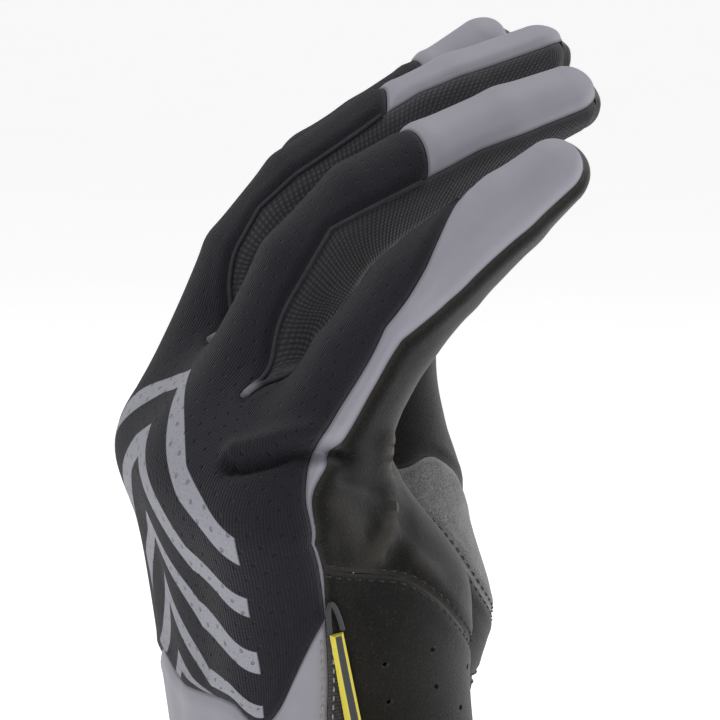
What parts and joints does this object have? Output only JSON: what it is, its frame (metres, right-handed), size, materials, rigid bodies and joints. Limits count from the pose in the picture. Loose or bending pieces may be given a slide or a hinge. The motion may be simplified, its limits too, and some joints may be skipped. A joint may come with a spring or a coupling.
{
  "type": "mechanic work glove",
  "caption": "Right-hand mechanic work glove in its worn, half-closed shape, with knit back, suede palm, smooth covers and elastic cuff.",
  "frame": {"origin": "centre of the cuff's mouth, where the wrist goes in", "axes": "+Z from the cuff's mouth up the wrist to the fingers, +X to the little finger's side, +Y out of the palm"},
  "size_m": [0.0857, 0.0846, 0.205],
  "materials": {
    "knit": "fine lengthwise ribbed stretch knit",
    "cover": "smooth matte synthetic",
    "twill": "diagonal twill",
    "suede": "short nap synthetic suede",
    "thumb_suede": "short nap synthetic suede",
    "band": "ribbed elastic",
    "tab": "smooth moulded"
  },
  "bodies": {
    "root": {"back_panel": "knit", "index_cover": "cover", "middle_cover": "cover", "ring_cover": "cover", "pinky_cover": "cover", "index_middle_fork": "twill", "middle_ring_fork": "twill", "ring_pinky_fork": "twill", "palm_panel": "suede", "heel_panel": "suede", "thumb_patch": "thumb_suede", "thumb_front": "suede", "thumb_back": "cover", "yoke": "cover", "wrist_gusset": "twill", "cuff_band": "band", "cuff_binding": "twill", "pull_tab": "tab", "tab_loop": "twill"}
  },
  "joints": []
}
